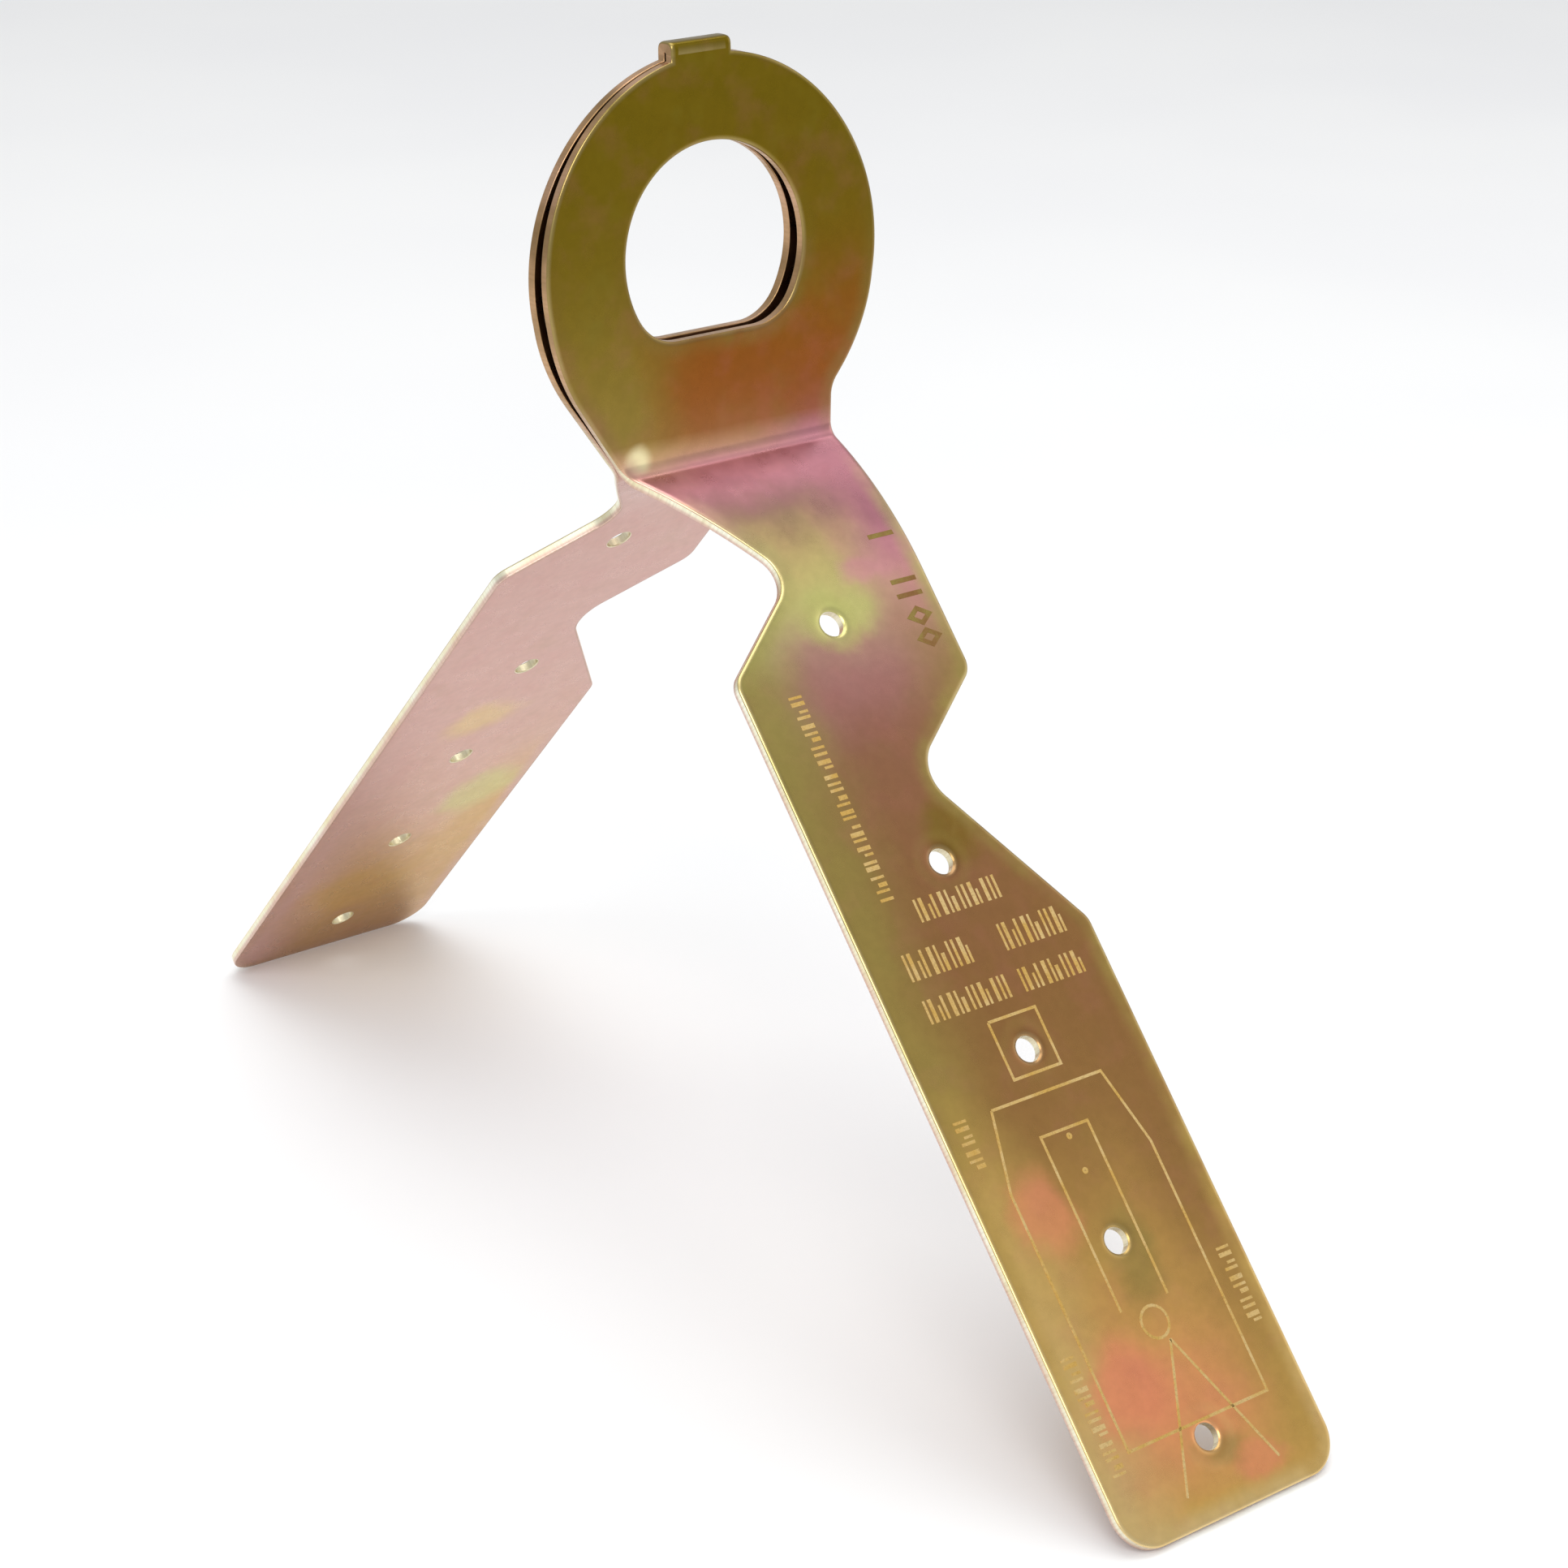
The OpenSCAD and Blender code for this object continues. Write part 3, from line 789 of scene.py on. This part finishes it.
# A few colours in round tens, that every band and patch below is made of: film colours, and a cream
# and a plum that are a painted highlight and a painted reflection
OLIVE, KHAKI, RUST, BROWN = (120, 100, 20), (150, 130, 70), (140, 80, 30), (140, 100, 60)
STRAW, BEND_HIGHLIGHT_CREAM, GOLD, SALMON = (220, 190, 130), (250, 240, 190), (210, 170, 90), (240, 150, 110)
ROSE, MAUVE, RING_REFLECTION_PLUM, LIME = (220, 150, 160), (180, 120, 130), (130, 100, 90), (200, 200, 120)
BLUSH, SAND = (210, 170, 160), (190, 150, 110)

# Broad bands of film, as (s, colour): the ring, the crease at 0, the neck, then the leg. The dark
# plum band on the neck, round s 15 to 25, is a painted reflection of the ring's lower end
OUTER_LEFT = [
    (-95, OLIVE), (-5, OLIVE), (0, STRAW), (10, ROSE), (15, RING_REFLECTION_PLUM), (25, RING_REFLECTION_PLUM), (35, LIME),
    (50, LIME), (70, KHAKI), (170, KHAKI), (200, GOLD), (285, STRAW),
]
OUTER_MIDDLE = [
    (-95, OLIVE), (-70, OLIVE), (-30, RUST), (-5, RUST), (0, SAND), (5, ROSE), (10, ROSE),
    (15, MAUVE), (25, RING_REFLECTION_PLUM), (35, STRAW), (50, LIME), (65, MAUVE), (90, BROWN), (190, BROWN),
    (240, GOLD), (265, SALMON), (285, GOLD),
]
OUTER_RIGHT = [
    (-95, OLIVE), (-50, OLIVE), (-25, RUST), (-5, RUST), (0, MAUVE), (5, ROSE), (10, MAUVE),
    (30, MAUVE), (45, ROSE), (70, KHAKI), (100, BROWN), (210, BROWN), (285, GOLD),
]
OUTER_EDGES = [
    (-95, OLIVE), (-5, OLIVE), (5, ROSE), (15, MAUVE), (40, LIME), (70, KHAKI), (170, KHAKI),
    (240, GOLD), (285, STRAW),
]
INNER_LEFT = [(-95, BROWN), (-5, BROWN), (5, BLUSH), (285, BLUSH)]
INNER_MIDDLE = [(-95, BROWN), (-5, BROWN), (5, BLUSH), (200, BLUSH), (250, GOLD), (285, SAND)]
INNER_RIGHT = [(-95, BROWN), (-5, BROWN), (5, BLUSH), (170, BLUSH), (210, GOLD), (285, SAND)]
INNER_EDGES = [(-95, BROWN), (-5, BROWN), (5, BLUSH), (200, BLUSH), (285, SAND)]
FRONT_PATCHES = [
    # The first patch is a painted highlight at the left end of the waist bend
    (-25, 0, 5, 5, BEND_HIGHLIGHT_CREAM, 0.8),
    (5, 55, 15, 10, LIME, 0.8),
    (20, 45, 10, 5, ROSE, 0.6),
    (10, 115, 10, 10, OLIVE, 0.6),
    (-15, 210, 10, 15, SALMON, 0.6),
    (5, 225, 10, 15, KHAKI, 0.7),
    (-10, 255, 15, 15, SALMON, 0.8),
    (5, 275, 10, 5, KHAKI, 0.6),
    (15, 280, 10, 5, SALMON, 0.6),
]
REAR_PATCHES = [
    (5, 55, 10, 10, LIME, 0.7),
    (-10, 115, 15, 15, OLIVE, 0.6),
    (15, 165, 15, 25, BROWN, 0.6),
    (10, 245, 15, 20, SALMON, 0.6),
]
INNER_PATCHES = [
    (0, 150, 15, 10, STRAW, 0.7),
    (20, 200, 15, 15, LIME, 0.6),
    (0, 250, 25, 15, GOLD, 0.7),
]

OUTER_TRACKS = (OUTER_LEFT, OUTER_MIDDLE, OUTER_RIGHT)
INNER_TRACKS = (INNER_LEFT, INNER_MIDDLE, INNER_RIGHT)
# Width and colour of the rubbed rim, on the outer faces and on the inner ones. The pale outer rim is
# also a painted highlight of the rolled edge
PALE_RIM_WEAR_AND_HIGHLIGHT, DULL = (1.3, (230, 210, 160)), (0.9, (130, 120, 80))
# The front and rear plating carry the painted reflection and the painted highlights set out above
front_plating_with_painted_light = plating(
    "front_zinc_plating_with_painted_light", OUTER_TRACKS, OUTER_EDGES, FRONT_PATCHES, *PALE_RIM_WEAR_AND_HIGHLIGHT, seed=0.0
)
rear_plating_with_painted_light = plating("rear_zinc_plating_with_painted_light", OUTER_TRACKS, OUTER_EDGES, REAR_PATCHES, *PALE_RIM_WEAR_AND_HIGHLIGHT, seed=3.7)
under_plating = plating(
    "under_zinc_plating", INNER_TRACKS, INNER_EDGES, INNER_PATCHES, *DULL, seed=8.1
)
edge_plating_and_highlight = cut_edge("cut_edge_zinc_plating_and_highlight", 1.3)
etched = mark_finish("etched_marks", STRAW, GOLD)
stamped = mark_finish("stamped_marks", KHAKI, BROWN)

# ---- The two formed sheets and the tab's fold ----

for half, plates in ((FRONT, front_plating_with_painted_light), (REAR, rear_plating_with_painted_light)):
    grid, rows = half_grid(half)
    top = BEND_RISE - (FOLD_RISE - TAB_LAP)
    sheet = build_sheet(
        f"{half.name}_formed_sheet",
        half,
        half_loops(half, rows),
        grid,
        [plates, under_plating, edge_plating_and_highlight],
        cap_at=(top,),
        relief=nail_relief(half),
    )
    bend_start, bend_end = half.place([0.0, 0.0], [0.0, half.bend_l], [0.0, 0.0])
    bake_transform(sheet)
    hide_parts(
        *[f"{half.name}_{zone}" for zone in ("ring_plate", "waist_bend", "neck", "leg_plate")],
    )

FOLD = Fold()
fold_rows = [TAB_LAP, *np.linspace(TAB_LAP, FOLD.length - TAB_LAP, 25)[1:-1], FOLD.length - TAB_LAP]
TAB_X0, TAB_X1 = -TAB_W / 2 - TAB_LEFT, TAB_W / 2 - TAB_LEFT
tab_corners = [(TAB_X0, 0.0), (TAB_X1, 0.0), (TAB_X1, FOLD.length), (TAB_X0, FOLD.length)]
tab_loop = sampled([np.array(corner) for corner in tab_corners], fold_rows, 2 * MM)
tab_columns = np.linspace(TAB_X0, TAB_X1, 10)[1:-1]
tab_grid = np.array([(x, s, 0.2 * MM) for s in fold_rows for x in tab_columns])
tab = build_sheet(
    "tab_fold_sheet",
    FOLD,
    [tab_loop],
    tab_grid,
    [front_plating_with_painted_light, under_plating, edge_plating_and_highlight],
    cap_at=(0.0, FOLD.length),
    s_shift=BEND_RISE - FOLD_RISE - FOLD.length,
)
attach(tab, "ring_head")
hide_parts("tab_fold")

# ---- Generic etched and stamped marks on the front leg ----

# They stand a hair proud of the outer face and sink a little into it
MARK_TOP, MARK_DEPTH = 0.03 * MM, 0.05 * MM
# Widths in millimetres: fine lines, stamped bars, and the ticks and the steps between them
HAIRLINE, STAMP_LINE = 0.75, 1.3
TICK_WIDTHS = (0.7, 1.1, 0.7, 0.8, 1.2)
TICK_STEPS = (1.7, 2.1, 1.5, 2.5, 1.9, 1.6, 2.2)


def ribbon(points, width, closed=False):
    """Both sides of a stroke along (x, v) points in millimetres, with mitred corners."""
    path = [np.array(points[0], float)]
    for p in [*points[1:], *([points[0]] if closed else [])]:
        p = np.array(p, float)
        n = max(1, math.ceil(np.linalg.norm(p - path[-1]) / 2))
        path += [path[-1] + (p - path[-1]) * k / n for k in range(1, n + 1)]
    if closed:
        path.pop()
    n = len(path)
    sides = []
    for i, p in enumerate(path):
        before = path[i - 1] if closed or i > 0 else None
        after = path[(i + 1) % n] if closed or i < n - 1 else None
        u = unit(p - before) if before is not None else unit(after - p)
        w = unit(after - p) if after is not None else u
        left_u, left_w = np.array([-u[1], u[0]]), np.array([-w[1], w[0]])
        mitre = (left_u + left_w) / max(1 + left_u @ left_w, 0.5) * width / 2
        sides.append((p + mitre, p - mitre))
    return sides, closed


def strokes(name, half, ribbons, material):
    """One piece of closed thin prisms, one for each stroke."""
    flat, height, faces = [], [], []
    for sides, closed in ribbons:
        start = len(flat)
        n = len(sides)
        for a, b in sides:
            flat += [a, a, b, b]
            height += [-MARK_DEPTH, MARK_TOP, MARK_TOP, -MARK_DEPTH]
        for i in range(n if closed else n - 1):
            p, q = start + 4 * i, start + 4 * ((i + 1) % n)
            faces += [[p + k, q + k, q + (k + 1) % 4, p + (k + 1) % 4] for k in range(4)]
        if not closed:
            last = start + 4 * (n - 1)
            faces += [[start, start + 1, start + 2, start + 3], [last + 3, last + 2, last + 1, last]]
    flat = np.array(flat) * MM
    h = np.array(height) + SHEET_T / 2
    co = half.place(flat[:, 0], half.station(flat[:, 1]), h)
    mesh = bpy.data.meshes.new(name)
    mesh.from_pydata(co.tolist(), [], faces)
    bm = bmesh.new()
    bm.from_mesh(mesh)
    bmesh.ops.recalc_face_normals(bm, faces=bm.faces)
    bm.to_mesh(mesh)
    bm.free()
    mesh.materials.append(material)
    piece = bpy.data.objects.new(name, mesh)
    bpy.context.scene.collection.objects.link(piece)
    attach(piece, f"{half.name}_leg")


def ticks(x0, x1, v0, v1, down=False):
    """A row of plain ticks, thick and thin, that fills a box. down lays the row along v."""
    rows = []
    at, k = (v0 if down else x0), 0
    while at < (v1 if down else x1):
        wide = TICK_WIDTHS[k % len(TICK_WIDTHS)]
        short = 0.35 * ((v1 - v0) if not down else (x1 - x0)) * (k % 4 == 2)
        ends = [(x0 + short, at), (x1, at)] if down else [(at, v0 + short), (at, v1)]
        rows.append(ribbon(ends, wide))
        at += TICK_STEPS[k % len(TICK_STEPS)]
        k += 1
    return rows


def oval(x, v, half_w, half_l, width):
    """A closed round stroke, as ribbon() gives it."""
    turn = [2 * math.pi * k / 20 for k in range(20)]
    points = [(x + half_w * math.cos(a), v + half_l * math.sin(a)) for a in turn]
    return ribbon(points, width, closed=True)


# Where the rows of ticks stand, as (x0, x1, v0, v1), across the leg and then down it
ACROSS = [
    (-10, 15, 126, 132),
    (-20, 0, 138, 145),
    (10, 30, 138, 145),
    (-20, 5, 150, 156),
    (10, 30, 150, 156),
]
DOWN = [
    (-19, -15, 70, 125),
    (-27, -23, 180, 192),
    (29, 33, 230, 250),
    (-27, -23, 240, 270),
]
# A plain diagram, as (x, v): a box, a plate's outline, a slot and two leads
DIAGRAM = [
    [(-5, 160), (10, 160), (10, 175), (-5, 175), (-5, 160)],
    [(-15, 180), (20, 180), (25, 200), (25, 265), (-20, 265), (-20, 200), (-15, 180)],
    [(-5, 235), (-5, 190), (10, 190), (10, 235)],
    [(5, 245), (-10, 280)],
    [(5, 245), (20, 280)],
]

etched_strokes = [ribbon(points, HAIRLINE) for points in DIAGRAM]
etched_strokes += [row for box in ACROSS for row in ticks(*box)]
etched_strokes += [row for box in DOWN for row in ticks(*box, down=True)]
etched_strokes += [oval(3, v, 0.5, 0.5, 0.7) for v in (192, 201)]
etched_strokes.append(oval(3, 240, 4, 4, HAIRLINE))
strokes("etched_marks", FRONT, etched_strokes, etched)

stamp_strokes = [
    ribbon([(25, 35), (33, 35)], STAMP_LINE),
    ribbon([(25, 48), (33, 48)], STAMP_LINE),
    ribbon([(25, 52), (33, 52)], STAMP_LINE),
    ribbon([(26, 58), (29, 56), (32, 58), (29, 60)], STAMP_LINE, closed=True),
    ribbon([(26, 64), (29, 62), (32, 64), (29, 66)], STAMP_LINE, closed=True),
]
strokes("stamped_marks", FRONT, stamp_strokes, stamped)

# ---- Studio ----


def studio_floor():
    """A wide pale floor with a barely uneven matt surface."""
    bm = bmesh.new()
    bmesh.ops.create_grid(bm, x_segments=24, y_segments=24, size=7.0)
    mesh = bpy.data.meshes.new("studio_floor")
    bm.to_mesh(mesh)
    bm.free()
    floor = bpy.data.objects.new("studio_floor", mesh)
    bpy.context.scene.collection.objects.link(floor)
    paint = Paint("pale_floor")
    at = paint.node("TexCoord", {}).outputs["Object"]
    tone = paint.smooth(paint.noise(at, 3.0, 2.0, 0.5), 0.3, 0.7)
    colour = paint.mix(tone, linear((240, 240, 240)), linear((243, 243, 242)))
    paint.put(paint.shader.inputs["Base Color"], colour)
    paint.shader.inputs["Roughness"].default_value = 0.85
    mesh.materials.append(paint.material)


def soft_light(name, place, target, size, power):
    """A rectangular softbox at a place, facing a target."""
    lamp = bpy.data.lights.new(name, "AREA")
    lamp.shape = "RECTANGLE"
    lamp.size, lamp.size_y = size
    lamp.energy = power
    made = bpy.data.objects.new(name, lamp)
    made.location = place
    made.rotation_euler = (Vector(target) - Vector(place)).to_track_quat("-Z", "Y").to_euler()
    bpy.context.scene.collection.objects.link(made)


studio_floor()
middle = (cad_box[0] + cad_box[1]) / 2
soft_light("key_softbox", (-1.1, -1.3, 1.7), middle, (1.2, 1.2), 22)
soft_light("fill_softbox", (1.6, -0.7, 0.9), middle, (1.0, 1.4), 2.5)
soft_light("top_softbox", (0.22, 0.2, 2.05), middle, (1.6, 1.6), 16)
world = bpy.data.worlds.new("studio_world")
world.use_nodes = True
world.node_tree.nodes["Background"].inputs["Color"].default_value = (0.93, 0.94, 0.96, 1)
world.node_tree.nodes["Background"].inputs["Strength"].default_value = 0.72
bpy.context.scene.world = world
bpy.context.scene.view_settings.view_transform = "Standard"

# ---- Camera, fitted to the view in the photograph and then rounded ----

camera = bpy.data.objects.new("camera", bpy.data.cameras.new("camera"))
turn, tilt, roll = [math.radians(a) for a in (-38.83, 67.74, 0.7)]
facing = Matrix.Rotation(turn, 4, "Z") @ Matrix.Rotation(tilt, 4, "X") @ Matrix.Rotation(roll, 4, "Z")
camera.matrix_world = Matrix.Translation((-0.559, -0.7255, 0.4945)) @ facing
camera.data.sensor_width = 36
camera.data.lens = 87.9
bpy.context.scene.collection.objects.link(camera)
bpy.context.scene.camera = camera
